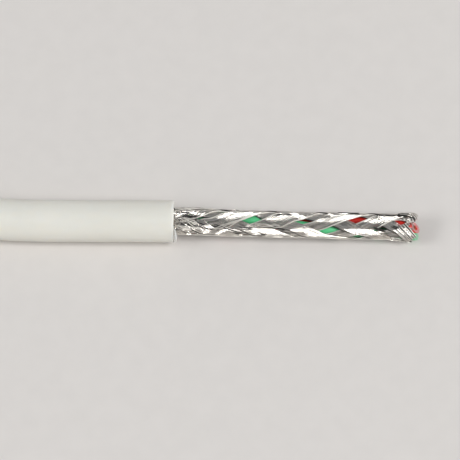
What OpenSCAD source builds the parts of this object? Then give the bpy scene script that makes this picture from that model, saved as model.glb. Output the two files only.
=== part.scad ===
// Stripped end of a screened two-core microphone cable, lying on a flat floor.
// The pale jacket is cut square and the tinned braid runs on from it, with a twisted red and green
// pair inside. Millimetres. The origin is on the axis at the jacket's cut end, +X points along the
// stripped length, +Z is up and the floor lies one jacket radius below the axis.

/* [Cores] */
// Diameter of one copper strand, seven of which make a conductor
strand_d = 0.2; // [0.12:0.01:0.25]
// Thickness of the insulation around a conductor
insulation_wall = 0.43; // [0.3:0.01:0.6]
// Length in which the pair makes one full turn
pair_lay = 48; // [40:1:120]
// Length of the cores past the end of the braid
core_out = 0.9; // [0.8:0.1:4]
// Slope of the cut at the core ends, from square
cut_slope = 40; // [0:1:45]

/* [Screen braid] */
// Diameter of one tinned wire
braid_wire_d = 0.15; // [0.1:0.01:0.2]
// Wires side by side in one carrier
carrier_wires = 10; // [7:1:12]
// Length in which a carrier makes one full turn
braid_lay = 29; // [24:0.5:40]
// Length of the braid in front of the jacket
braid_len = 33.6; // [20:0.2:50]

/* [Jacket] */
// Thickness of the jacket
jacket_wall = 1; // [0.6:0.05:1.5]
// Length of the jacket along the cable
jacket_len = 62; // [45:1:120]
// Straight length of jacket behind its cut end
straight_len = 18; // [10:1:30]
// Radius of the gentle bend behind the straight length
bend_r = 120; // [90:5:300]

/* [Lie of the stripped bundle] */
// Drop of the stripped bundle below the jacket's axis
bundle_sag = 0.9; // [0.2:0.05:1]
// Sideways set of the stripped bundle
bundle_side = 0.25; // [0:0.05:0.4]
// Length over which the bundle takes up its drop
sag_len = 40; // [20:1:48]

/* [Clearances] */
// Gap between a conductor and its insulation
conductor_gap = 0.02; // [0.01:0.01:0.04]
// Gap between the two cores
pair_gap = 0.02; // [0.01:0.01:0.06]
// Gap between the pair and the braid
braid_gap = 0.03; // [0.02:0.01:0.06]
// Gap between the two layers of crossing carriers
layer_gap = 0.04; // [0.03:0.01:0.06]
// Gap left between the leaning bundle and the jacket at its mouth
mouth_gap = 0.06; // [0.02:0.01:0.2]

/* [Hidden] */
$fn = 96;

carriers = 4;
hands = ["right", "left"];

conductor_r = 1.5 * strand_d;
insulation_bore_r = conductor_r + conductor_gap;
core_r = insulation_bore_r + insulation_wall;
core_off = core_r + pair_gap / 2;

braid_in_r = core_off + core_r + braid_gap;
braid_mid_r = braid_in_r + braid_wire_d + layer_gap / 2;
braid_out_r = braid_in_r + 2 * braid_wire_d + layer_gap;

// The carriers start this far inside the jacket, where the plain hidden length of the screen ends
tuck = 6;
lean_at_mouth = norm([bundle_side, bundle_sag]) * ease(tuck / sag_len);
bore_r = braid_out_r + lean_at_mouth + mouth_gap;
jacket_r = bore_r + jacket_wall;

bend_deg = (jacket_len - straight_len) / bend_r * 180 / PI;
tip = braid_len + core_out;

turn_rate = 360 / braid_lay;
spacing = 360 / carriers;
braid_slope = atan(2 * PI * braid_mid_r / braid_lay);
fill = carrier_wires * braid_wire_d / cos(braid_slope) * carriers / (2 * PI * braid_mid_r);
half_width = fill * spacing / 2;
groove = 0.3 * braid_wire_d;
right_phase = 2.2;
left_phase = 7.8;

pair_phase = -6;
core_sides = 12;
core_step = 3.6;
core_rings = ceil((jacket_len + tip) / core_step) + 1;

function ease(t) = let (c = max(0, min(1, t))) c * c * (3 - 2 * c);

// A point of the cable: s along the axis, y across it and z up, following bend, drop and set
function bend_at(s) = max(0, -straight_len - s) / bend_r * 180 / PI;
function axis_at(s) =
    let (a = bend_at(s))
    [max(s, -straight_len) - bend_r * sin(a), bend_r * (1 - cos(a)), 0];
function at(s, y, z) =
    let (a = bend_at(s), e = ease((s + tuck) / sag_len), q = y - bundle_side * e)
    axis_at(s) + [q * sin(a), q * cos(a), z - bundle_sag * e];

// Faces of a swept solid whose rings run along +X, each ring counted from +Y over +Z. The list
// splits says for each side which way its four corners are cut into two triangles.
function sweep_faces(rings, splits) =
    let (sides = len(splits))
    concat(
        [[for (k = [0:sides - 1]) k]],
        [for (i = [0:rings - 2], k = [0:sides - 1])
            let (a = i * sides + k, b = i * sides + (k + 1) % sides)
            each splits[k] == 0
                ? [[a, a + sides, b + sides], [a, b + sides, b]]
                : [[a, a + sides, b], [a + sides, b + sides, b]]],
        [[for (k = [sides - 1:-1:0]) (rings - 1) * sides + k]]
    );

// Faces of a swept pipe: the outer rings come first, then the inner rings in the same order
function pipe_faces(rings, sides) =
    let (inner = rings * sides, last = (rings - 1) * sides)
    concat(
        [for (i = [0:rings - 2], k = [0:sides - 1]) let (a = i * sides + k, b = i * sides + (k + 1) % sides)
            each [[a, a + sides, b + sides], [a, b + sides, b]]],
        [for (i = [0:rings - 2], k = [0:sides - 1])
            let (a = inner + i * sides + k, b = inner + i * sides + (k + 1) % sides)
            each [[a, b + sides, a + sides], [a, b, b + sides]]],
        [for (k = [0:sides - 1]) let (b = (k + 1) % sides) [k, b, inner + b, inner + k]],
        [for (k = [0:sides - 1])
            let (a = last + k, b = last + (k + 1) % sides) [a, inner + a, inner + b, b]]
    );

// Station of ring i of a core; the last ring stands on the sloping cut
function core_s(i) = -jacket_len + (jacket_len + tip) * i / (core_rings - 1);
function core_turn(i, half) = pair_phase + 180 * half + 360 * core_s(i) / pair_lay;
function core_ring(i, half, radii) =
    let (phi = core_turn(i, half))
    [for (k = [0:core_sides - 1])
        let (
            r = radii[k % len(radii)],
            a = phi + 360 * k / core_sides,
            cut = i == core_rings - 1 ? tan(cut_slope) * r * sin(a) : 0
        )
        at(core_s(i) - cut, core_off * cos(phi) + r * cos(a), core_off * sin(phi) + r * sin(a))];
function core_skin(half, radii) = [for (i = [0:core_rings - 1]) each core_ring(i, half, radii)];

// Weave of the braid, two over and two under: 1 is the outer layer and 0 the inner one
function right_over(sum) = ((sum + 1) % 4 + 4) % 4 < 2;
function layer(hand, sum) = (hand > 0) == right_over(sum) ? 1 : 0;
function weave(hand, i, q) =
    let (j = round(q), d = q - j, over = abs(d) - fill / 2, n = j + sign(d), t = max(0, over) / (1 - fill))
    layer(hand, i + j) * (1 - t) + layer(hand, i + n) * t;

// Carrier i of one hand: q counts the crossed carriers, u runs across the ribbon from -1 to 1
function phase(hand) = hand > 0 ? right_phase : left_phase;
function shift(hand, i) = spacing * i + phase(hand) - phase(-hand);
function carrier_q(hand, i, s) = (2 * hand * turn_rate * s + shift(hand, i)) / spacing;
function carrier_s(hand, i, q, u) = hand * (q * spacing - shift(hand, i) - u * half_width) / (2 * turn_rate);
function carrier_point(hand, i, q, u, lift) =
    let (
        s = carrier_s(hand, i, q, u),
        a = hand * turn_rate * s + spacing * i + phase(hand) + u * half_width,
        r = braid_in_r + weave(hand, i, q) * (braid_wire_d + layer_gap) + lift
    )
    at(s, r * cos(a), r * sin(a));

// Rings of a carrier: both edges and the middle of each crossing, and the two ends
function carrier_stops(lo, hi) = concat(
    [lo],
    [for (j = [floor(lo):ceil(hi)], d = [-fill / 2, 0, fill / 2]) if (j + d > lo + 0.1 && j + d < hi - 0.1) j + d],
    [hi]
);
function flip(list) = [for (k = [len(list) - 1:-1:0]) list[k]];
function carrier_rings(hand, i) =
    let (
        a = carrier_q(hand, i, -tuck + half_width / (2 * turn_rate)),
        b = carrier_q(hand, i, braid_len - half_width / (2 * turn_rate)),
        stops = carrier_stops(min(a, b), max(a, b))
    )
    hand > 0 ? stops : flip(stops);

// The triangles of a carrier are split along the cable, where the surface is straight
ridge_points = 9;
under_points = 4;
function carrier_splits(hand) =
    [for (k = [0:ridge_points + under_points - 1]) (hand > 0) == (k < ridge_points) ? 1 : 0];
function carrier_ring(hand, i, q) = concat(
    [for (k = [0:ridge_points - 1])
        carrier_point(hand, i, q, -1 + 2 * k / (ridge_points - 1), braid_wire_d - groove * (k % 2))],
    [for (k = [0:under_points - 1]) carrier_point(hand, i, q, 1 - 2 * k / (under_points - 1), 0)]
);

module ring_section(r_out, r_in) {
    difference() {
        circle(r = r_out);
        circle(r = r_in);
    }
}

// A tube that follows the cable from its far end to the given length of the straight part
module cable_tube(r_out, r_in, straight) {
    translate([-straight_len, 0, 0])
        rotate([0, 90, 0])
            linear_extrude(height = straight)
                ring_section(r_out, r_in);
    translate([-straight_len, bend_r, 0])
        rotate([0, 0, -90])
            rotate_extrude(angle = -bend_deg)
                translate([bend_r, 0])
                    ring_section(r_out, r_in);
}

module outer_jacket() {
    color("#dedcd4")
        cable_tube(jacket_r, bore_r, straight_len);
}

// The screen inside the jacket, where no weave shows: a plain tube up to the start of the carriers
module hidden_screen() {
    color("#b9b8b4")
        cable_tube(braid_out_r, braid_in_r, straight_len - tuck);
}

module carrier(hand, i) {
    rings = carrier_rings(hand, i);
    color("#c9c8c4")
        polyhedron(
            points = [for (q = rings) each carrier_ring(hand, i, q)],
            faces = sweep_faces(len(rings), carrier_splits(hand)),
            convexity = 8
        );
}

module insulation(half, paint) {
    color(paint)
        polyhedron(
            points = concat(core_skin(half, [core_r]), core_skin(half, [insulation_bore_r])),
            faces = pipe_faces(core_rings, core_sides),
            convexity = 8
        );
}

// Seven strands laid up tightly: six lobes show around the middle one
module conductor(half) {
    color("#c08a5a")
        polyhedron(
            points = core_skin(half, [conductor_r, 0.86 * conductor_r]),
            faces = sweep_faces(core_rings, [for (k = [1:core_sides]) 0]),
            convexity = 8
        );
}

outer_jacket();
hidden_screen();
for (h = [0, 1], i = [0:carriers - 1])
    carrier(1 - 2 * h, i);
insulation(1, "#b4372c");  // red_insulation
conductor(1);  // red_conductor
insulation(0, "#5fae86");  // green_insulation
conductor(0);  // green_conductor
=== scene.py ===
"""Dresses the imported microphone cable: grained jacket, braid of separate tinned wires, twisted cores."""
import math
import random

import bmesh
import bpy
from bpy.props import FloatProperty, FloatVectorProperty, IntProperty, PointerProperty
from mathutils import Matrix, Vector, noise


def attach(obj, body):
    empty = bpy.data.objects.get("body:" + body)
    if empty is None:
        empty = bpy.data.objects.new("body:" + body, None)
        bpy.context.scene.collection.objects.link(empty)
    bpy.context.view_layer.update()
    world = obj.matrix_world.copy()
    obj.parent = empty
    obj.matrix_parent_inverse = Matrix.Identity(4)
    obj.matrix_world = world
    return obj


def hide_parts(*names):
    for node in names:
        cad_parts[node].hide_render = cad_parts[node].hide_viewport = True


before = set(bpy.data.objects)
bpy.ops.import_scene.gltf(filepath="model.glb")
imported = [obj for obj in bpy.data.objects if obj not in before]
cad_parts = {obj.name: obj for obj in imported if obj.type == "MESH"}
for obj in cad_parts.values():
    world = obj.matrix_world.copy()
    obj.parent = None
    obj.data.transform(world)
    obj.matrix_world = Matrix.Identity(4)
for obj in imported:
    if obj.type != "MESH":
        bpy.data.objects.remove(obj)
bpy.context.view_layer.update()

bl_info = {
    "name": "Stripped microphone cable",
    "version": (1, 0, 0),
    "blender": (4, 5, 0),
    "location": "3D View > Sidebar > Cable",
    "description": "Builds the dressed pieces of a stripped, screened two-core cable",
    "category": "Object",
}

MM = 0.001

# Vertices closer than this are one, in millimetres
MERGE_DIST = 1e-7

# The looks of a tinned wire, in the order of its materials; the last is no tin at all but painted shade,
# near-black wires that stand for the shadowed gaps of the weave
TIN_LOOKS = ("bright", "plain", "dull", "satin", "tarnished")
BRIGHT, PLAIN, DULL, SATIN, PAINTED_SHADE = range(len(TIN_LOOKS))

# First seeds of the random draws, by what they are for
STRAND_SEEDS = 300
BAND_SEEDS = 1000
STRAY_SEEDS = 3000
DRAWN_SEEDS = 4000
FAR_END_SEEDS = 7000
LOOK_SEEDS = 9000
# Steps between the seeds of the two hands, of carriers and of small groups of wires
HAND_STEP = 500
CARRIER_STEP = 50
GROUP_STEP = 20


def length(name, description, millimetres):
    """A size in metres, given in millimetres."""
    return FloatProperty(
        name=name,
        description=description,
        default=millimetres * MM,
        unit="LENGTH",
        precision=5,
    )


def degrees(name, description, angle):
    """An angle property, given in degrees."""
    return FloatProperty(
        name=name, description=description, default=math.radians(angle), unit="ROTATION"
    )


def power(name, description, watts):
    """The power of a lamp, in watts."""
    return FloatProperty(name=name, description=description, default=watts, unit="POWER")


def colour(name, description, rgb):
    """A colour property, given as the eight-bit numbers a colour picker shows."""
    linear = [
        c / 12.92 if c <= 0.04045 else ((c + 0.055) / 1.055) ** 2.4
        for c in (v / 255 for v in rgb)
    ]
    return FloatVectorProperty(
        name=name,
        description=description,
        subtype="COLOR",
        size=3,
        min=0,
        max=1,
        default=linear,
    )


def own_keys(group):
    """Names of the properties that a property group declares itself."""
    return [key for key in group.bl_rna.properties.keys() if key not in ("rna_type", "name")]


class CableSizes(bpy.types.PropertyGroup):
    """Sizes of the cable, which are those of the solids, and the number of wires."""

    jacket_r: length("Jacket radius", "Outside radius of the jacket", 2.9967)
    bore_r: length("Jacket bore", "Inside radius of the jacket", 1.9967)
    jacket_len: length("Jacket length", "Length of the jacket along the cable", 62)
    straight_len: length("Straight length", "Straight jacket behind its cut end", 18)
    bend_r: length("Bend radius", "Radius of the bend behind the straight length", 120)
    braid_in_r: length("Braid inside radius", "Inside radius of the braid", 1.54)
    wire_d: length("Braid wire", "Diameter of one tinned wire", 0.15)
    layer_gap: length("Layer gap", "Gap between crossing carriers", 0.04)
    braid_lay: length("Braid lay", "Length in which a carrier makes one turn", 29)
    braid_len: length("Braid length", "Braid in front of the jacket", 33.6)
    tuck: length("Tuck", "How far inside the jacket the woven length starts", 6)
    core_r: length("Core radius", "Outside radius of one insulated core", 0.75)
    core_off: length("Core offset", "Distance from the axis to a core's centre", 0.76)
    core_bore_r: length("Core bore", "Inside radius of the insulation", 0.32)
    strand_d: length("Strand", "Diameter of one copper strand", 0.2)
    pair_lay: length("Pair lay", "Length in which the pair makes one turn", 48)
    core_out: length("Core ends", "Length of the cores past the braid", 0.9)
    sag: length("Drop", "Drop of the stripped bundle below the axis", 0.9)
    side: length("Side set", "Sideways set of the stripped bundle", 0.25)
    sag_len: length("Drop length", "Length over which the bundle drops", 40)
    cut_slope: degrees("Cut slope", "Slope of the cut at the core ends", 40)
    carrier_w: length("Carrier width", "Width of one carrier of the braid", 1.5)
    wires: IntProperty(
        name="Wires", description="Wires laid in one carrier", default=12, min=4, max=16
    )


class CableFinish(bpy.types.PropertyGroup):
    """Colours of the cable's materials."""

    jacket: colour("Jacket", "Pale grey jacket", (228, 226, 217))
    tin: colour("Tin", "Tinned wire", (234, 230, 223))
    red: colour("Red", "Red insulation", (226, 50, 38))
    green: colour("Green", "Green insulation", (92, 202, 138))
    copper: colour("Copper", "Bare copper strand", (205, 130, 92))


class StudioSettings(bpy.types.PropertyGroup):
    """Camera, lamps and floor."""

    elevation: degrees("Elevation", "Height of the camera above the floor", 65)
    roll: degrees("Roll", "Turn of the picture", 0.3)
    distance: length("Distance", "Camera to the cable", 330)
    view_width: length("View width", "Width of the picture at the cable", 65.7)
    centre_x: length("Picture centre", "Middle of the picture, along the cable", 8.0)
    below: length("Picture drop", "How far the picture's middle lies below the axis", 1.18)
    floor: colour("Floor", "Pale floor", (215, 211, 207))
    lamp_distance: length("Lamp distance", "Lamps to the cable", 2000)
    lamp_rise: degrees("Lamp rise", "How far the lamps stand above the camera's line", 7.0)
    key_turn: degrees("Key turn", "Turn of the main softbox to the right of the camera", 32)
    fill_turn: degrees("Fill turn", "Turn of the second softbox, to the left of the camera", -48)
    key_power: power("Key", "Power of the main softbox", 26.4)
    fill_power: power("Fill", "Power of the second softbox", 12.1)
    horizon: colour("Horizon", "Warm even light from low down", (203, 195, 185))
    zenith: colour("Zenith", "Dim even light from overhead", (141, 144, 148))


class CableLay:
    """Where each piece of the cable runs, in millimetres and degrees."""

    # Properties that are taken over as they are
    not_lengths = ("wires", "cut_slope")

    carriers = 4
    phases = {1: 2.2, -1: 7.8}
    # The left-hand carriers lie flat and wide, the right-hand ones are drawn together
    spread = {1: 0.98, -1: 1.1}
    pair_phase = -6
    # How far the cut ends of the cores hang out of the braid, across and up, and from how far back
    tip_hang = (-0.65, -0.1)
    tip_hang_len = 5.5
    # Least height of a wire's centre line above the floor
    floor_room = 0.1

    # Places where the weave stands open, or closed where the push is below nothing: along, round,
    # and the push on the right-hand and on the left-hand wires in degrees
    openings = (
        (0.3, 140, -34, -34),
        (3.85, 95, -26, -26),
        (7.5, 50, -18, -18),
        (7.5, 140, -34, -34),
        (11.0, 95, 36, 2),
        (14.75, 50, -30, -30),
        (14.75, 140, -27, -27),
        (18.4, 98, -10, -12),
        (22.0, 50, -30, -30),
        (22.1, 141, 14, 3),
        (26.1, 93, 20, -2),
        (29.2, 50, -30, -30),
        (29.2, 136, -31, -31),
        (32.2, 95, 26, 2),
        (3.85, 185, -30, -30),
        (11.1, 185, -30, -30),
        (18.4, 185, -30, -30),
        (33.4, 185, -34, -34),
    )
    # How far such a place reaches, along and round
    opening_reach = (1.7, 28)

    # Places where the weave has slipped: along, round, how far it slipped along and round
    slips = (
        (11.1, 95, 0.0, 3),
        (18.4, 98, 0.2, 5),
        (26.0, 95, 0.75, -10),
        (29.2, 136, 0.2, -16),
        (25.65, 185, 0.8, 0),
        (32.6, 95, -0.25, -5),
    )
    slip_reach = (3.2, 45)

    def __init__(self, sizes):
        for key in own_keys(sizes):
            value = getattr(sizes, key)
            setattr(self, key, value if key in self.not_lengths else value / MM)
        self.rate = 360 / self.braid_lay
        self.spacing = 360 / self.carriers
        mid_r = self.braid_in_r + self.wire_d + self.layer_gap / 2
        slope = math.atan(2 * math.pi * mid_r / self.braid_lay)
        self.fill = self.carrier_w / math.cos(slope) * self.carriers / (2 * math.pi * mid_r)
        self.half = self.fill * self.spacing / 2
        self.braid_out_r = self.braid_in_r + 2 * self.wire_d + self.layer_gap
        self.tip = self.braid_len + self.core_out
        self.floor = -self.jacket_r

    def ease(self, t):
        """A smooth step from 0 to 1 while t runs from 0 to 1."""
        t = min(1.0, max(0.0, t))
        return t * t * (3 - 2 * t)

    def bend(self, s):
        """How far the jacket has turned there, in radians."""
        return max(0.0, -self.straight_len - s) / self.bend_r

    def along(self, s, y, z):
        """A point beside the jacket's own axis, in metres."""
        a = self.bend(s)
        x = max(s, -self.straight_len) - self.bend_r * math.sin(a)
        across = self.bend_r * (1 - math.cos(a))
        return Vector((x + y * math.sin(a), across + y * math.cos(a), z)) * MM

    def at(self, s, y, z):
        """A point of the bundle, which drops a little once it is out of the jacket."""
        e = self.ease((s + self.tuck) / self.sag_len)
        return self.along(s, y - self.side * e, z - self.sag * e)

    def polar(self, s, r, angle):
        """A point of the bundle, by its radius and angle."""
        a = math.radians(angle)
        return self.at(s, r * math.cos(a), r * math.sin(a))

    def above_floor(self, s, r, angle):
        """The same, kept just above the floor."""
        p = self.polar(s, r, angle)
        p.z = max(p.z, (self.floor + self.floor_room) * MM)
        return p

    def over(self, hand, total):
        """1 where a carrier of that hand lies in the outer layer of a crossing, or else 0."""
        right = (total + 1) % 4 < 2
        return 1.0 if (hand > 0) == right else 0.0

    def weave(self, hand, i, q):
        """Height in the weave, from 0 in the inner layer to 1 in the outer one."""
        j = round(q)
        d = q - j
        t = max(0.0, abs(d) - self.fill / 2) / (1 - self.fill)
        t = self.ease(t)
        n = j + (1 if d > 0 else -1)
        return self.over(hand, i + j) * (1 - t) + self.over(hand, i + n) * t

    def woven_r(self, hand, i, s, angle):
        """Radius at which a wire of carrier i lies in the weave there."""
        q = (angle + hand * self.rate * s - self.phases[-hand]) / self.spacing
        rise = self.weave(hand, i, q) * (self.wire_d + self.layer_gap)
        return self.braid_in_r + self.wire_d / 2 + rise

    def carrier_angle(self, hand, i, s):
        """Angle of the middle of a carrier."""
        return hand * self.rate * s + self.spacing * i + self.phases[hand]

    def lane(self, w):
        """Where wire w lies across its carrier, between -1 and 1."""
        return -1 + (2 * w + 1) / self.wires

    def spot(self, s, angle, s0, a0, reach):
        """How strongly a place of the braid acts there, and how far round it is in degrees."""
        aside = (angle - a0 + 180) % 360 - 180
        return math.exp(-(((s - s0) / reach[0]) ** 2) - (aside / reach[1]) ** 2), aside

    def moved(self, hand, s, angle):
        """Where a wire of the even weave lies once the weave has slipped, opened and closed up."""
        for s0, a0, forward, turn in self.slips:
            near, _ = self.spot(s, angle, s0, a0, self.slip_reach)
            angle += near * (turn - hand * self.rate * forward)
        push = 0.0
        for s0, a0, right, left in self.openings:
            near, aside = self.spot(s, angle, s0, a0, self.opening_reach)
            push += near * (right if hand > 0 else left) * aside / self.opening_reach[1]
        return angle + push

    def core_angle(self, s, half):
        """Angle of a core's centre around the axis of the pair."""
        return self.pair_phase + 180 * half + 360 * s / self.pair_lay

    def core_centre(self, s, half):
        """Centre of a core in the bundle; the cut ends hang out of the braid to one side."""
        a = math.radians(self.core_angle(s, half))
        start = self.braid_len - self.tip_hang_len
        hang = self.ease((s - start) / (self.tip - start))
        return (
            self.core_off * math.cos(a) + self.tip_hang[0] * hang,
            self.core_off * math.sin(a) + self.tip_hang[1] * hang,
        )

    def over_cores(self, s, r, angle):
        """Radius of a wire there, raised where needed so that it lies over the cores."""
        a = math.radians(angle)
        for half in (0, 1):
            cy, cz = self.core_centre(s, half)
            ahead = cy * math.cos(a) + cz * math.sin(a)
            aside = cy * cy + cz * cz - ahead * ahead
            reach = (self.core_r + self.wire_d / 2) ** 2 - aside
            if reach > 0:
                r = max(r, ahead + math.sqrt(reach))
        return r


def wandering(t, seed, depth, rate, step, layer):
    """How far a wire strays at t: smooth noise of that depth and rate, its own for each seed."""
    return depth * noise.noise(Vector((t * rate, seed * step, layer)))


def wire_seed(first, hand, i, w):
    """Seed of the random draws for wire w of carrier i."""
    return first + HAND_STEP * (hand > 0) + CARRIER_STEP * i + w


def lathe(profile, steps):
    """A closed ring section turned about X; profile holds (x, radius) pairs."""
    bm = bmesh.new()
    verts = [bm.verts.new((x, 0, r)) for x, r in profile]
    edges = [bm.edges.new((a, b)) for a, b in zip(verts, verts[1:] + verts[:1])]
    bmesh.ops.spin(
        bm,
        geom=verts + edges,
        cent=(0, 0, 0),
        axis=(1, 0, 0),
        angle=2 * math.pi,
        steps=steps,
        use_merge=True,
    )
    bmesh.ops.remove_doubles(bm, verts=bm.verts, dist=MERGE_DIST)
    bmesh.ops.recalc_face_normals(bm, faces=bm.faces)
    return bm


def linked(name, data, materials=()):
    """A new object of the scene, at the origin."""
    for material in materials:
        data.materials.append(material)
    piece = bpy.data.objects.new(name, data)
    bpy.context.scene.collection.objects.link(piece)
    return piece


def finished(bm, name, materials):
    """Makes the bmesh a smooth-shaded object."""
    data = bpy.data.meshes.new(name)
    bm.to_mesh(data)
    bm.free()
    data.shade_smooth()
    return linked(name, data, materials)


def wire_piece(name, runs, radius, materials):
    """One curve object of round wires; runs holds (points, material number) pairs."""
    data = bpy.data.curves.new(name, "CURVE")
    data.dimensions = "3D"
    data.bevel_depth = radius
    data.bevel_resolution = 2
    data.use_fill_caps = True
    piece = linked(name, data, materials)
    for points, look in runs:
        spline = data.splines.new("POLY")
        spline.points.add(len(points) - 1)
        spline.points.foreach_set("co", [c for p in points for c in (*p, 1.0)])
        spline.material_index = look
        spline.use_smooth = True
    return piece


def seat(piece, slot, *nodes):
    """The piece belongs to the one body and stands for those nodes, whose parts it hides; slot is not
    used.
    """
    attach(piece, "root")
    if nodes:
        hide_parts(*nodes)


def grain_group():
    """Fine grain: a mask that changes slowly, a mask that changes fast and a bump normal."""
    name = "fine_grain"
    if name in bpy.data.node_groups:
        return bpy.data.node_groups[name]
    group = bpy.data.node_groups.new(name, "ShaderNodeTree")
    io = group.interface
    for label, default in (("Broad scale", 200.0), ("Fine scale", 4000.0), ("Bump", 0.1)):
        io.new_socket(label, in_out="INPUT", socket_type="NodeSocketFloat").default_value = default
    for label, kind in (("Broad", "Float"), ("Fine", "Float"), ("Normal", "Vector")):
        io.new_socket(label, in_out="OUTPUT", socket_type=f"NodeSocket{kind}")
    nodes, links = group.nodes, group.links
    enter = nodes.new("NodeGroupInput")
    leave = nodes.new("NodeGroupOutput")
    place = nodes.new("ShaderNodeTexCoord")
    broad = nodes.new("ShaderNodeTexNoise")
    fine = nodes.new("ShaderNodeTexNoise")
    bump = nodes.new("ShaderNodeBump")
    broad.inputs["Detail"].default_value = 2.0
    fine.inputs["Detail"].default_value = 3.0
    bump.inputs["Distance"].default_value = 0.00002
    for node, label in ((broad, "Broad scale"), (fine, "Fine scale")):
        links.new(place.outputs["Object"], node.inputs["Vector"])
        links.new(enter.outputs[label], node.inputs["Scale"])
    links.new(enter.outputs["Bump"], bump.inputs["Strength"])
    links.new(fine.outputs["Fac"], bump.inputs["Height"])
    links.new(broad.outputs["Fac"], leave.inputs["Broad"])
    links.new(fine.outputs["Fac"], leave.inputs["Fine"])
    links.new(bump.outputs["Normal"], leave.inputs["Normal"])
    return group


def set_ramp(ramp, stops):
    """Gives a colour ramp its two stops, as (position, colour) pairs."""
    for element, (position, rgb) in zip(ramp.elements, stops):
        element.position = position
        element.color = (*rgb, 1)


def grained(name, rgb, darkest, rough, scales, bump, metal=0.0, coat=0.0):
    """A material whose colour, down to its darkest share, and roughness follow the fine grain."""
    material = bpy.data.materials.new(name)
    material.use_nodes = True
    nodes, links = material.node_tree.nodes, material.node_tree.links
    shader = nodes["Principled BSDF"]
    shader.inputs["Metallic"].default_value = metal
    shader.inputs["Coat Weight"].default_value = coat
    grain = nodes.new("ShaderNodeGroup")
    grain.node_tree = grain_group()
    grain.inputs["Broad scale"].default_value = scales[0]
    grain.inputs["Fine scale"].default_value = scales[1]
    grain.inputs["Bump"].default_value = bump
    tint = nodes.new("ShaderNodeValToRGB")
    # Most of the broad mask lies between these two stops
    set_ramp(tint.color_ramp, ((0.3, shaded(rgb, darkest)), (0.7, rgb)))
    gloss = nodes.new("ShaderNodeMapRange")
    gloss.inputs["To Min"].default_value, gloss.inputs["To Max"].default_value = rough
    links.new(grain.outputs["Broad"], tint.inputs["Fac"])
    links.new(grain.outputs["Fine"], gloss.inputs["Value"])
    links.new(tint.outputs["Color"], shader.inputs["Base Color"])
    links.new(gloss.outputs["Result"], shader.inputs["Roughness"])
    links.new(grain.outputs["Normal"], shader.inputs["Normal"])
    return material


def shaded(rgb, factor):
    """The colour made darker or lighter."""
    return tuple(min(1.0, c * factor) for c in rgb)


def tin_looks(finish):
    """One material for each look of a tinned wire; the last is painted shade."""
    names = [f"tin_{look}" for look in TIN_LOOKS]
    if names[0] in bpy.data.materials:
        return [bpy.data.materials[name] for name in names]
    scales = (600, 9000)
    # Lightest and darkest shade of the tin, range of roughness, strength of the bump
    surfaces = (
        (1.0, 0.92, (0.09, 0.17), 0.03),
        (0.92, 0.8, (0.11, 0.2), 0.04),
        (0.72, 0.55, (0.16, 0.28), 0.06),
        (1.0, 0.9, (0.42, 0.55), 0.05),
        # Painted shade: near-black wires for the shadowed gaps and slits of the weave
        (0.09, 0.055, (0.45, 0.6), 0.08),
    )
    return [
        grained(name, shaded(finish.tin, light), dark / light, rough, scales, bump, metal=1.0)
        for name, (light, dark, rough, bump) in zip(names, surfaces)
    ]


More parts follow.
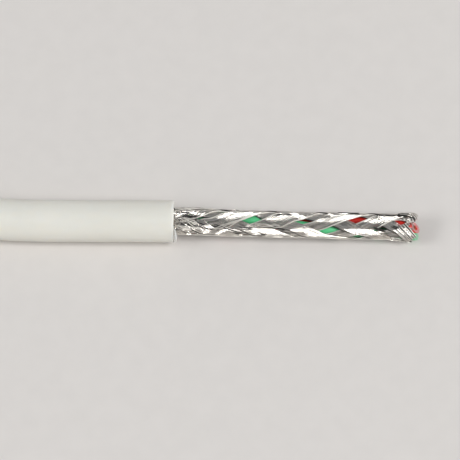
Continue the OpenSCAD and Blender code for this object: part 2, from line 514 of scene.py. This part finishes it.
class CABLE_OT_stage(bpy.types.Operator):
    """Makes the camera, the lamps, the even light and the pale floor"""

    bl_idname = "cable.stage"
    bl_label = "Stage"

    # Width of the camera's sensor in millimetres, and the distances between which it sees, in metres
    sensor_width = 36
    clip_range = (0.01, 20)
    # Width and height of the softboxes, in metres
    key_size = (0.72, 0.85)
    fill_size = (0.6, 0.85)
    # Heights in the sky, where overhead is 1, at which the horizon's light ends and the zenith's starts
    sky_heights = (0.15, 0.5)
    # The floor is a round sheet, in metres, a hair below the jacket
    floor_r = 3.0
    floor_sides = 64
    floor_gap = 0.00001

    def add_camera(self, scene, studio, target, back):
        """A camera in front of the cable and above it, turned to the target."""
        data = bpy.data.cameras.new("camera")
        data.sensor_width = self.sensor_width
        data.lens = self.sensor_width * studio.distance / studio.view_width
        data.clip_start, data.clip_end = self.clip_range
        camera = linked("camera", data)
        place = Matrix.Translation(target + back * studio.distance)
        aim = (-back).to_track_quat("-Z", "Y").to_matrix().to_4x4()
        camera.matrix_world = place @ aim @ Matrix.Rotation(studio.roll, 4, "Z")
        scene.camera = camera

    def add_lamps(self, studio, target, up, back):
        """Two softboxes a little above the camera's line, turned to its right and to its left."""
        over = back * math.cos(studio.lamp_rise) + up * math.sin(studio.lamp_rise)
        above = up * math.cos(studio.lamp_rise) - back * math.sin(studio.lamp_rise)
        for name, turn, size, watts in (
            ("right_softbox", studio.key_turn, self.key_size, studio.key_power),
            ("left_softbox", studio.fill_turn, self.fill_size, studio.fill_power),
        ):
            lamp = bpy.data.lights.new(name, "AREA")
            lamp.shape = "RECTANGLE"
            lamp.size, lamp.size_y = size
            lamp.energy = watts
            holder = linked(name, lamp)
            towards = over * math.cos(turn) + Vector((math.sin(turn), 0, 0))
            axes = Matrix((above.cross(towards), above, towards)).transposed().to_4x4()
            holder.matrix_world = Matrix.Translation(target + towards * studio.lamp_distance) @ axes
            holder.visible_camera = False

    def add_even_light(self, scene, studio):
        """Light from all round, brighter and warmer from low down."""
        world = bpy.data.worlds.new("even_light")
        scene.world = world
        world.use_nodes = True
        nodes, links = world.node_tree.nodes, world.node_tree.links
        place = nodes.new("ShaderNodeTexCoord")
        split = nodes.new("ShaderNodeSeparateXYZ")
        level = nodes.new("ShaderNodeValToRGB")
        level.color_ramp.interpolation = "EASE"
        set_ramp(level.color_ramp, zip(self.sky_heights, (studio.horizon, studio.zenith)))
        links.new(place.outputs["Generated"], split.inputs["Vector"])
        links.new(split.outputs["Z"], level.inputs["Fac"])
        links.new(level.outputs["Color"], nodes["Background"].inputs["Color"])

    def add_floor(self, studio, lay):
        """A sheet of pale paper under the jacket."""
        bm = bmesh.new()
        bmesh.ops.create_circle(bm, cap_ends=True, segments=self.floor_sides, radius=self.floor_r)
        bmesh.ops.translate(bm, verts=bm.verts, vec=(0, 0, lay.floor * MM - self.floor_gap))
        paper = grained(
            "paper_floor", studio.floor, 0.975, rough=(0.7, 0.9), scales=(420, 1500), bump=0.25
        )
        floor = finished(bm, "floor", [paper])

    def execute(self, context):
        scene, studio = context.scene, context.scene.studio
        scene.view_settings.view_transform = "Standard"
        e = studio.elevation
        up = Vector((0, math.sin(e), math.cos(e)))
        back = Vector((0, -math.cos(e), math.sin(e)))
        target = Vector((studio.centre_x, 0, 0)) - up * studio.below
        self.add_camera(scene, studio, target, back)
        self.add_lamps(studio, target, up, back)
        self.add_even_light(scene, studio)
        self.add_floor(studio, CableLay(scene.cable_sizes))
        return {"FINISHED"}


class CABLE_OT_jacket(bpy.types.Operator):
    bl_idname = "cable.jacket"
    bl_label = "Jacket"

    sides = 120
    ring_len = 0.9
    route_steps = 40
    # Bevel of the far edge, and the share of it at which the bevel is rounded
    far_edge = 0.12
    far_rounding = 0.3

    # Closer rings near the cut: along the outside, along and below the rim over the edge, above the
    # bore across the face, and along the bore
    outside_at_cut = (-0.9, -0.5, -0.28, -0.12)
    edge_at_cut = ((-0.035, 0.035), (0, 0.12))
    face_at_cut = (0.55, 0.25, 0.08)
    bore_at_cut = (-0.06, -0.4, -1.2)

    # A thin sliver that the knife left standing: its span round the cut, its section along and
    # outward, the point that the section shrinks to, and the shares of it that are left at both ends
    burr_span = (math.radians(138), math.radians(222))
    burr_steps = 24
    burr_section = ((0.1, 2.2), (0.42, 2.35), (0.5, 2.7), (0.38, 3.02), (0.14, 3.08))
    burr_root = (0.1, 2.72)
    burr_left = (0.1, 0.15)
    # The jacket itself ends at 0, so what lies past this is the burr
    past_cut = 0.01

    # Waves of the surface: their depth, and how fast they change along and round
    wave_depth = 0.018
    wave_rates = (0.16, 1.4)
    # The swollen rim and the groove behind it: height, place and reach along
    swells = ((0.03, -0.25, 0.2), (-0.02, -0.75, 0.25))
    # The ragged cut: its depth, its reach along, how fast it changes round and its place in the noise
    ragged_depth = 0.05
    ragged_reach = 0.6
    ragged_rate = 3.0
    ragged_layer = 4.7

    def wall(self, lay):
        """Section of the jacket's wall, as (along, radius) pairs."""
        far, rim, bore = -lay.jacket_len, lay.jacket_r, lay.bore_r
        edge, rounding = self.far_edge, self.far_rounding * self.far_edge
        count = int((lay.jacket_len - 2 * edge) / self.ring_len)
        stations = [far + edge + self.ring_len * k for k in range(count)]
        outside = [(far, rim - edge), (far + rounding, rim - rounding)]
        outside += [(s, rim) for s in (*stations, *self.outside_at_cut)]
        outside += [(s, rim - below) for s, below in self.edge_at_cut]
        face = [(0, bore + above) for above in self.face_at_cut]
        # One ring in three is enough for the bore, up to its own closer rings
        bore_stations = stations[:-2:3]
        inside = [(s, bore) for s in (*self.bore_at_cut, *reversed(bore_stations), far)]
        return outside + face + inside

    def add_burr(self, bm):
        """Adds the sliver at the lower front of the cut, tapering to both ends."""
        first, last = self.burr_span
        verts = [
            bm.verts.new((s, r * math.cos(first), r * math.sin(first)))
            for s, r in self.burr_section
        ]
        edges = [bm.edges.new((a, b)) for a, b in zip(verts, verts[1:] + verts[:1])]
        end = bmesh.ops.spin(
            bm,
            geom=verts + edges,
            cent=(0, 0, 0),
            axis=(1, 0, 0),
            angle=last - first,
            steps=self.burr_steps,
        )["geom_last"]
        for cap in (verts, [v for v in end if isinstance(v, bmesh.types.BMVert)]):
            bm.faces.new(cap)
        bmesh.ops.recalc_face_normals(bm, faces=bm.faces)
        root_s, root_r = self.burr_root
        left_s, left_r = self.burr_left
        for v in bm.verts:
            s, y, z = v.co
            if s < self.past_cut:
                continue
            a = math.atan2(z, y) % (2 * math.pi)
            t = max(0.0, math.sin(math.pi * (a - first) / (last - first))) ** 0.5
            s = root_s + (s - root_s) * (left_s + (1 - left_s) * t)
            r = root_r + (math.hypot(y, z) - root_r) * (left_r + (1 - left_r) * t)
            v.co = (s, r * math.cos(a), r * math.sin(a))

    def worn(self, lay, s, y, z):
        """Where a point of the even jacket lies, with the waves, the swollen rim and the ragged cut."""
        r, a = math.hypot(y, z), math.atan2(z, y)
        across, up = math.cos(a), math.sin(a)
        outer = max(0.0, (r - lay.bore_r) / (lay.jacket_r - lay.bore_r))
        along_rate, round_rate = self.wave_rates
        wave = noise.noise(Vector((s * along_rate, round_rate * across, round_rate * up)))
        swell = sum(height * math.exp(-(((s - s0) / reach) ** 2)) for height, s0, reach in self.swells)
        r += outer * (self.wave_depth * wave + swell)
        if s < self.past_cut:
            near = max(0.0, 1 + s / self.ragged_reach)
            place = Vector((self.ragged_rate * across, self.ragged_rate * up, self.ragged_layer))
            s += near * self.ragged_depth * noise.noise(place)
        return lay.along(s, r * across, r * up)

    def execute(self, context):
        lay = CableLay(context.scene.cable_sizes)
        shade = context.scene.cable_finish.jacket
        bm = lathe(self.wall(lay), self.sides)
        self.add_burr(bm)
        for v in bm.verts:
            v.co = self.worn(lay, *v.co)
        plastic = grained(
            "jacket_pvc", shade, 0.965, rough=(0.34, 0.5), scales=(150, 5200), bump=0.35
        )
        shader = plastic.node_tree.nodes["Principled BSDF"]
        shader.inputs["Subsurface Weight"].default_value = 1.0
        shader.inputs["Subsurface Radius"].default_value = (1.0, 0.92, 0.82)
        shader.inputs["Subsurface Scale"].default_value = 0.002
        jacket = finished(bm, "jacket_tube", [plastic])
        seat(jacket, "jacket_pvc", "outer_jacket")
        return {"FINISHED"}


class CABLE_OT_braid(bpy.types.Operator):
    """Makes each carrier of the braid as a band of separate tinned wires"""

    bl_idname = "cable.braid"
    bl_label = "Braid"

    # Looks of the wires in a carrier, and the wires that stand out, counted from either edge
    band_looks = (BRIGHT, BRIGHT, BRIGHT, PLAIN, PLAIN, PLAIN, PLAIN, DULL)
    edge_wires = {1: (-1,), -1: (0, -1)}
    # The edge wire of a right-hand carrier is painted shade: a dark line where the band dives under the
    # next one
    edge_looks = {1: PAINTED_SHADE, -1: SATIN}

    # Wires of each carrier that have strayed over their neighbours: their number, how far they stray
    # across the carrier, from which lanes, where and over what length, and how much that lifts them
    strays = 1
    stray_across = (0.5, 0.9)
    stray_lanes = (-0.8, 0.8)
    stray_places = (2, 32)
    stray_lengths = (2.0, 4.0)
    stray_lift = 0.15

    # A wire's points lie about this far apart, and it starts up to this far past the tuck
    point_step = 0.22
    start_spread = (0, 0.3)
    # The cut ends of the wires by hand: reach past the braid, flare outward, swing round in degrees
    end_reach = {1: (-0.5, 0.7), -1: (-0.7, 0.9)}
    end_flare = {1: (-0.04, 0.14), -1: (-0.1, 0.06)}
    end_swing = {1: (8, 44), -1: (-14, 30)}
    fray_len = 2.6
    # Every other wire of that hand lies this much higher, and wires keep to their lanes this closely
    pile = {1: 0.02, -1: 0.0}
    lane_spread = 0.012
    # Where the wires are worked loose near the jacket's mouth: the middle and the reach of that place
    loosened = (2.0, 4.0)
    # Noise along a wire, across the carrier and outward, in all places and in the loosened one:
    # depth, rate, step from wire to wire and layer
    across_noise = (0.018, 0.25, 1.37, 0.5)
    loose_across_noise = (0.1, 0.75, 1.37, 8.5)
    outward_noise = (0.004, 0.4, 2.11, 3.5)
    loose_outward_noise = (0.1, 0.9, 2.11, 6.5)

    # Single wires that lie over the weave, some of them sprung loose: along and round at each end,
    # rise in the middle, flare at the end and look
    # Wires with the painted-shade look are dark lines of painted shade, laid where slits and gaps of the
    # weave stand in shadow
    loose = (
        (0.15, 128, 4.8, 152, 0.06, 0, SATIN),
        (0.12, 152, 3.2, 108, 0.1, 0, PAINTED_SHADE),
        (0.2, 160, 5.6, 118, 0.05, 0, BRIGHT),
        (5.4, 146, 11.0, 78, 0.12, 0, SATIN),
        (5.7, 148, 11.2, 82, 0.12, 0, SATIN),
        (0.1, 104, 2.7, 142, 0.12, 0, BRIGHT),
        (0.15, 146, 2.6, 164, 0.06, 0, BRIGHT),
        (0.2, 118, 3.6, 96, 0.06, 0, SATIN),
        (0.12, 134, 3.9, 139, 0.12, 0, SATIN),
        (1.0, 122, 6.4, 150, 0.04, 0, PAINTED_SHADE),
        (0.1, 142, 2.2, 126, 0.1, 0, BRIGHT),
        (0.1, 66, 2.4, 46, 0.1, 0, SATIN),
        (0.15, 52, 3.0, 60, 0.1, 0, SATIN),
        (0.1, 84, 1.8, 58, 0.1, 0, BRIGHT),
        (0.1, 26, 5.4, 31, 0.06, 0, BRIGHT),
        (0.1, 36, 4.6, 40, 0.1, 0, SATIN),
        (0.1, 45, 6.0, 38, 0.08, 0, SATIN),
        (1.2, 98, 3.1, 128, 0.2, 0, SATIN),
        (1.5, 98, 3.3, 124, 0.2, 0, SATIN),
        (1.0, 102, 2.9, 133, 0.18, 0, SATIN),
        (1.8, 98, 3.6, 121, 0.2, 0, SATIN),
        (0.2, 128, 2.5, 136, 0.18, 0, SATIN),
        (0.2, 134, 2.4, 142, 0.2, 0, SATIN),
        (0.2, 140, 2.5, 149, 0.18, 0, SATIN),
        (31.0, 170, 33.6, 180, 0.02, 0.1, SATIN),
        (31.4, 175, 33.8, 184, 0.02, 0.1, PAINTED_SHADE),
        (30.6, 186, 33.4, 196, 0.02, 0.2, BRIGHT),
        (30.9, 190, 33.7, 192, 0.02, 0.28, SATIN),
        (31.2, 182, 33.2, 200, 0.02, 0.15, SATIN),
        (0.3, 70, 2.2, 72, 0, 0, PAINTED_SHADE),
        (1.3, 84, 3.7, 97, 0, 0, PAINTED_SHADE),
        (1.2, 90, 3.3, 101, 0, 0, PAINTED_SHADE),
        (3.2, 117, 4.7, 127, 0, 0, PAINTED_SHADE),
        (6.1, 131, 7.8, 129, 0, 0, PAINTED_SHADE),
        (9.3, 131, 11.3, 135, 0, 0, PAINTED_SHADE),
        (9.6, 140, 11.0, 143, 0, 0, PAINTED_SHADE),
        (12.0, 168, 14.2, 167, 0, 0, PAINTED_SHADE),
        (13.7, 126, 15.8, 139, 0, 0, PAINTED_SHADE),
        (14.7, 69, 17.0, 69, 0, 0, PAINTED_SHADE),
        (23.4, 42, 26.4, 43, 0, 0, PAINTED_SHADE),
        (28.4, 119, 29.9, 128, 0, 0, PAINTED_SHADE),
        (28.5, 123, 30.0, 132, 0, 0, PAINTED_SHADE),
        (28.7, 127, 30.1, 136, 0, 0, PAINTED_SHADE),
        (28.7, 58, 33.5, 57, 0, 0, PAINTED_SHADE),
        (30.9, 115, 32.3, 131, 0, 0, PAINTED_SHADE),
        (31.2, 112, 32.5, 126, 0, 0, PAINTED_SHADE),
        (14.2, 125, 15.1, 130, 0, 0, PAINTED_SHADE),
        (11.6, 118, 15.0, 121, 0.03, 0, SATIN),
        (11.8, 122, 15.3, 126, 0.03, 0, SATIN),
        (3.0, 184, 8.0, 188, 0.02, 0, SATIN),
        (7.4, 188, 12.0, 183, 0.02, 0, SATIN),
        (12.6, 183, 17.6, 187, 0.02, 0, SATIN),
        (17.0, 186, 22.0, 182, 0.02, 0, SATIN),
        (21.6, 183, 26.4, 187, 0.02, 0, SATIN),
        (26.0, 181, 30.8, 185, 0.02, 0, SATIN),
    )

    # Bands of wires drawn over the weave: along and round at both ends of the first wire, number of
    # wires, and the step along from one to the next
    bands = (
        (10.9, 134, 14.0, 172, 10, 0.33),
        (24.2, 127, 25.9, 155, 14, 0.29),
    )
    over_looks = (BRIGHT, PLAIN)

    # Wires bent across the front of the cut end, from the first, where they lie close, to the last
    tuft_wires = 16
    tuft_first = (31.4, 132, 33.4, 181)
    tuft_last = (32.9, 100, 34.5, 151)
    tuft_crowding = 1.4
    tuft_rise = 0.04
    tuft_flare = 0.36
    # One tuft wire in five is painted shade, a dark line for the shadow between the wires
    tuft_looks = (SATIN, BRIGHT, DULL, SATIN, PAINTED_SHADE)

    # Wires at the cut end that curl over from the top
    curls = (
        (32.2, 30, 34.5, 74),
        (32.4, 38, 34.6, 82),
        (32.0, 46, 34.3, 90),
        (32.6, 24, 34.7, 66),
        (32.3, 54, 34.2, 84),
        (32.1, 62, 34.3, 92),
        (32.3, 34, 34.6, 78),
        (32.2, 50, 34.4, 87),
        (31.8, 58, 33.9, 88),
    )
    curl_rise = 0.05
    # One curl in three is painted shade, a dark line for the shadow between the wires
    curl_looks = (SATIN, BRIGHT, PAINTED_SHADE)

    # Steps along a wire that lies over the weave, and its waver round in degrees: where it has risen,
    # where it lies close, and at the cut end
    laid_steps = 30
    risen_waver = 5
    close_waver = 1
    end_waver = 2
    # Noise of such a wire, round and outward: rate, step from wire to wire and layer
    laid_round_noise = (3.5, 3.7, 1.5)
    laid_outward_noise = (6, 5.1, 2.5)
    # Numbers of the first wires of the tuft, the curls and the bands, for that noise
    tuft_number = 40
    curl_number = 60
    band_number = 80

    # Wires drawn across the closed places of the weave: along, round, hand and their two looks
    # Where the second look is painted shade, about half the wires are dark lines of painted shade for the
    # shadow in the closed weave
    drawn = (
        (2.2, 140, 1, DULL, PAINTED_SHADE),
        (3.0, 128, 1, DULL, PAINTED_SHADE),
        (5.2, 165, -1, PLAIN, DULL),
        (7.5, 140, 1, DULL, PAINTED_SHADE),
        (9.4, 116, 1, PLAIN, DULL),
        (14.75, 50, 1, DULL, PAINTED_SHADE),
        (22.0, 50, 1, DULL, PAINTED_SHADE),
        (24.7, 110, 1, PLAIN, DULL),
        (29.2, 50, 1, DULL, PAINTED_SHADE),
    )
    # Wires at each place and the degrees between them, their half length, steps along them, height
    # in the middle and drop towards the ends, and the depth, rate and step of their noise
    drawn_wires = 6
    drawn_apart = 5.6
    drawn_reach = (1.7, 2.4)
    drawn_steps = 20
    drawn_height = 0.12
    drawn_drop = 0.1
    drawn_noise = (2, 2, 9.1)

    def run(self, lay, hand, i, lane, seed, stray=0.0):
        """The points of one wire of a carrier."""
        rng = random.Random(seed)
        end = lay.braid_len + rng.uniform(*self.end_reach[hand])
        flare = rng.uniform(*self.end_flare[hand])
        swing = rng.uniform(*self.end_swing[hand])
        lane += rng.gauss(0, self.lane_spread)
        stray_at = rng.uniform(*self.stray_places)
        stray_len = rng.uniform(*self.stray_lengths)
        start = -lay.tuck + rng.uniform(*self.start_spread)
        piled = self.pile[hand] * (seed % 2)
        loose_at, loose_reach = self.loosened
        count = int((end - start) / self.point_step)
        points = []
        for k in range(count + 1):
            s = start + (end - start) * k / count
            loose = max(0.0, 1 - abs(s - loose_at) / loose_reach)
            u = lane + wandering(s, seed, *self.across_noise)
            u += loose * wandering(s, seed, *self.loose_across_noise)
            strayed = stray * math.exp(-(((s - stray_at) / stray_len) ** 2))
            angle = lay.carrier_angle(hand, i, s) + (u + strayed) * lay.half * lay.spread[hand]
            angle = lay.moved(hand, s, angle)
            r = lay.woven_r(hand, i, s, angle) + piled + abs(strayed) * self.stray_lift
            r += wandering(s, seed, *self.outward_noise)
            r += loose * max(0.0, wandering(s, seed, *self.loose_outward_noise))
            fray = max(0.0, 1 + (s - lay.braid_len) / self.fray_len) ** 2
            angle += fray * swing
            r = lay.over_cores(s, r, angle) + fray * flare
            points.append(lay.above_floor(s, r, angle))
        return points

    def laid(self, lay, ends, rise, flare, waver, number, curl=False):
        """The points of a wire over the weave; a curl turns round the cable towards its end."""
        s0, a0, s1, a1 = ends
        points = []
        for k in range(self.laid_steps + 1):
            t = k / self.laid_steps
            quarter = math.pi / 2 * t
            ahead, turned = (math.sin(quarter), 1 - math.cos(quarter)) if curl else (t, t)
            s = s0 + (s1 - s0) * ahead
            angle = a0 + (a1 - a0) * turned + wandering(t, number, waver, *self.laid_round_noise)
            r = lay.braid_out_r + lay.wire_d / 2 + flare * t * t
            r += rise * math.sin(math.pi * t) * (1 + wandering(t, number, 1, *self.laid_outward_noise))
            points.append(lay.above_floor(s, lay.over_cores(s, r, angle), angle))
        return points

    def carrier_runs(self, lay, hand, i):
        """The wires of one carrier with their looks, the stray ones last."""
        edges = self.edge_wires[hand]
        runs = []
        for w in range(lay.wires):
            seed = wire_seed(BAND_SEEDS, hand, i, w)
            look = random.Random(seed + LOOK_SEEDS).choice(self.band_looks)
            if w in edges or w - lay.wires in edges:
                look = self.edge_looks[hand]
            runs.append((self.run(lay, hand, i, lay.lane(w), seed), look))
        for w in range(self.strays):
            seed = wire_seed(STRAY_SEEDS, hand, i, w)
            rng = random.Random(seed)
            stray = rng.choice((-1, 1)) * rng.uniform(*self.stray_across)
            lane = rng.uniform(*self.stray_lanes)
            runs.append((self.run(lay, hand, i, lane, seed, stray), BRIGHT))
        return runs

    def loose_runs(self, lay):
        """The wires that lie over the weave and across its cut end, with their looks."""
        runs = []
        for n, (*ends, rise, flare, look) in enumerate(self.loose):
            waver = self.risen_waver if rise else self.close_waver
            runs.append((self.laid(lay, ends, rise, flare, waver, n), look))
        for n, (s0, a0, s1, a1, count, step) in enumerate(self.bands):
            for w in range(count):
                ends = (s0 + w * step, a0, s1 + w * step, a1)
                number = self.band_number + GROUP_STEP * n + w
                points = self.laid(lay, ends, 0, 0, self.close_waver, number)
                runs.append((points, self.over_looks[w % len(self.over_looks)]))
        for w in range(self.tuft_wires):
            t = (w / (self.tuft_wires - 1)) ** self.tuft_crowding
            ends = [a + (b - a) * t for a, b in zip(self.tuft_first, self.tuft_last)]
            number = self.tuft_number + w
            points = self.laid(lay, ends, self.tuft_rise, self.tuft_flare, self.end_waver, number)
            runs.append((points, self.tuft_looks[w % len(self.tuft_looks)]))
        for n, ends in enumerate(self.curls):
            number = self.curl_number + n
            points = self.laid(lay, ends, self.curl_rise, 0, self.end_waver, number, curl=True)
            runs.append((points, self.curl_looks[n % len(self.curl_looks)]))
        return runs

    def drawn_runs(self, lay):
        """The wires drawn across the closed places, with their looks."""
        runs = []
        for n, (s0, a0, hand, *pair) in enumerate(self.drawn):
            for w in range(self.drawn_wires):
                rng = random.Random(DRAWN_SEEDS + GROUP_STEP * n + w)
                reach = rng.uniform(*self.drawn_reach)
                middle = a0 + self.drawn_apart * (w - (self.drawn_wires - 1) / 2)
                points = []
                for k in range(self.drawn_steps + 1):
                    t = 2 * k / self.drawn_steps - 1
                    angle = middle + hand * lay.rate * reach * t + wandering(t, w, *self.drawn_noise, n)
                    r = lay.braid_in_r + lay.wire_d / 2 + self.drawn_height - self.drawn_drop * t * t
                    points.append(lay.polar(s0 + reach * t, r, angle))
                runs.append((points, rng.choice(pair)))
        return runs

    def execute(self, context):
        lay = CableLay(context.scene.cable_sizes)
        looks = tin_looks(context.scene.cable_finish)
        radius = lay.wire_d / 2 * MM
        for hand, name in ((1, "right"), (-1, "left")):
            for i in range(lay.carriers):
                runs = self.carrier_runs(lay, hand, i)
                piece = wire_piece(f"wires_{name}_{i + 1}", runs, radius, looks)
                seat(piece, "tinned_screen", f"carrier_{name}_{i + 1}")
        runs = self.loose_runs(lay) + self.drawn_runs(lay)
        piece = wire_piece("loose_wires", runs, radius, looks)
        seat(piece, "tinned_screen")
        return {"FINISHED"}


class CABLE_OT_screen_end(bpy.types.Operator):
    """Makes the hidden length of the screen, with its cut wires at the far end"""

    bl_idname = "cable.screen_end"
    bl_label = "Screen at the far end"

    # The plain tube: its rings, how far from the far cut it starts, and its gap below the wires' faces
    sides = 48
    ring_len = 1.6
    tube_start = 0.7
    tube_inset = 0.03
    # The cut wires: steps along them, length, how far past the cut they end, and looks
    end_steps = 8
    end_len = 2.4
    end_past = (-0.05, 0.12)
    end_looks = (BRIGHT, PLAIN, PLAIN)

    def tube_section(self, lay):
        """Section of the plain tube's wall, as (along, radius) pairs."""
        start = self.tube_start - lay.jacket_len
        stations = [start + self.ring_len * k for k in range(int((-lay.tuck - start) / self.ring_len))]
        stations.append(-lay.tuck)
        outside = [(s, lay.braid_out_r - self.tube_inset) for s in stations]
        inside = [(s, lay.braid_in_r + self.tube_inset) for s in reversed(stations)]
        return outside + inside

    def wire_end(self, lay, hand, i, w):
        """The points of one cut wire, and its look."""
        rng = random.Random(wire_seed(FAR_END_SEEDS, hand, i, w))
        end = -lay.jacket_len - rng.uniform(*self.end_past)
        points = []
        for k in range(self.end_steps + 1):
            s = end + self.end_len * k / self.end_steps
            angle = lay.carrier_angle(hand, i, s) + lay.lane(w) * lay.half
            points.append(lay.polar(s, lay.woven_r(hand, i, s, angle), angle))
        return points, rng.choice(self.end_looks)

    def execute(self, context):
        lay = CableLay(context.scene.cable_sizes)
        looks = tin_looks(context.scene.cable_finish)
        bm = lathe(self.tube_section(lay), self.sides)
        for v in bm.verts:
            v.co = lay.along(*v.co)
        tube = finished(bm, "screen_tube", [looks[DULL]])
        seat(tube, "tinned_screen", "hidden_screen")
        runs = [
            self.wire_end(lay, hand, i, w)
            for hand in (1, -1)
            for i in range(lay.carriers)
            for w in range(lay.wires)
        ]
        ends = wire_piece("screen_wire_ends", runs, lay.wire_d / 2 * MM, looks)
        seat(ends, "tinned_screen")
        return {"FINISHED"}


class CABLE_OT_cores(bpy.types.Operator):
    """Makes the two insulated cores and their strands, cut aslant at the stripped end"""

    bl_idname = "cable.cores"
    bl_label = "Cores"

    sides = 40
    rings = 130
    # Length over which the ends of the cores turn to the slope of the cut
    slant_len = 2.4
    # Bevel at the far cut, bevel along and inward at the slanted cut, and the reach of the cut faces
    far_bevel = 0.03
    tip_bevel = (0.03, 0.04)
    cut_reach = 0.01
    # Share of the colour that a cut face keeps, and the white that it gains
    cut_tint = (0.55, 0.3)
    # Strands of a conductor, the last in the middle: number, lay, how far they end from the cut, and
    # how far they stand out at the far end
    strands = 7
    strand_lay = 14
    strand_ends = (-0.12, 0.0)
    strand_out = 0.03

    def core_point(self, lay, half, s, rho, turn):
        """A point beside a core's own centre line; turn is in degrees from the pair's line."""
        a = math.radians(lay.core_angle(s, half) + turn)
        near = max(0.0, 1 + (s - lay.tip) / self.slant_len) ** 2
        s -= near * math.tan(lay.cut_slope) * rho * math.sin(a)
        y, z = lay.core_centre(s, half)
        return lay.at(s, y + rho * math.cos(a), z + rho * math.sin(a))

    def insulation(self, lay, half):
        """The insulation of one core, whose cut faces have the second material."""
        far, tip = -lay.jacket_len, lay.tip
        stations = [far + (tip - far) * k / self.rings for k in range(self.rings + 1)]
        back, inward = self.tip_bevel
        outside = [(far, lay.core_r - self.far_bevel)]
        outside += [(s, lay.core_r) for s in (*stations[1:-1], tip - back)]
        outside.append((tip, lay.core_r - inward))
        inside = [(s, lay.core_bore_r) for s in reversed(stations)]
        bm = lathe(outside + inside, self.sides)
        for face in bm.faces:
            xs = [v.co.x for v in face.verts]
            if min(xs) > tip - self.cut_reach or max(xs) < far + self.cut_reach:
                face.material_index = 1
        for v in bm.verts:
            s, y, z = v.co
            v.co = self.core_point(lay, half, s, math.hypot(y, z), math.degrees(math.atan2(z, y)))
        return bm

    def strand_runs(self, lay, half):
        """The strands of one conductor."""
        far, around = -lay.jacket_len, self.strands - 1
        runs = []
        for w in range(self.strands):
            rng = random.Random(STRAND_SEEDS + GROUP_STEP * half + w)
            reach = lay.tip + rng.uniform(*self.strand_ends) - far
            rho = lay.strand_d if w < around else 0
            points = []
            for k in range(self.rings + 1):
                s = far - self.strand_out + reach * k / self.rings
                turn = 360 / around * w + 360 * s / self.strand_lay
                points.append(self.core_point(lay, half, s, rho, turn))
            runs.append((points, 0))
        return runs

    def execute(self, context):
        lay = CableLay(context.scene.cable_sizes)
        finish = context.scene.cable_finish
        bare = grained(
            "bare_copper", finish.copper, 0.8, rough=(0.22, 0.4), scales=(900, 9000), bump=0.1, metal=1.0
        )
        kept, white = self.cut_tint
        for name, half, shade in (("green", 0, finish.green), ("red", 1, finish.red)):
            pale = tuple(kept * c + white for c in shade)
            skin = grained(
                f"{name}_pvc", shade, 0.84, rough=(0.26, 0.42), scales=(500, 6000), bump=0.2, coat=0.15
            )
            cut = grained(
                f"{name}_cut", pale, 0.7, rough=(0.4, 0.6), scales=(2500, 9000), bump=0.4
            )
            core = finished(self.insulation(lay, half), f"{name}_core", [skin, cut])
            seat(core, f"{name}_pvc", f"{name}_insulation")
            runs = self.strand_runs(lay, half)
            strands = wire_piece(f"{name}_strands", runs, lay.strand_d / 2 * MM, [bare])
            seat(strands, "copper_strand", f"{name}_conductor")
        return {"FINISHED"}


class CABLE_PT_panel(bpy.types.Panel):
    """Lists the steps that build the cable"""

    bl_idname = "CABLE_PT_panel"
    bl_label = "Stripped cable"
    bl_space_type = "VIEW_3D"
    bl_region_type = "UI"
    bl_category = "Cable"

    def draw(self, context):
        for step in STEPS:
            self.layout.operator(step.bl_idname)
        for group in (context.scene.cable_sizes, context.scene.cable_finish, context.scene.studio):
            box = self.layout.box()
            for key in own_keys(group):
                box.prop(group, key)


STEPS = (CABLE_OT_stage, CABLE_OT_jacket, CABLE_OT_braid, CABLE_OT_screen_end, CABLE_OT_cores)
CLASSES = (CableSizes, CableFinish, StudioSettings, *STEPS, CABLE_PT_panel)


def register():
    for cls in CLASSES:
        bpy.utils.register_class(cls)
    bpy.types.Scene.cable_sizes = PointerProperty(type=CableSizes)
    bpy.types.Scene.cable_finish = PointerProperty(type=CableFinish)
    bpy.types.Scene.studio = PointerProperty(type=StudioSettings)


def unregister():
    del bpy.types.Scene.cable_sizes, bpy.types.Scene.cable_finish, bpy.types.Scene.studio
    for cls in reversed(CLASSES):
        bpy.utils.unregister_class(cls)


def main():
    register()
    bpy.ops.cable.stage()
    bpy.ops.cable.jacket()
    bpy.ops.cable.braid()
    bpy.ops.cable.screen_end()
    bpy.ops.cable.cores()


if __name__ == "__main__":
    main()
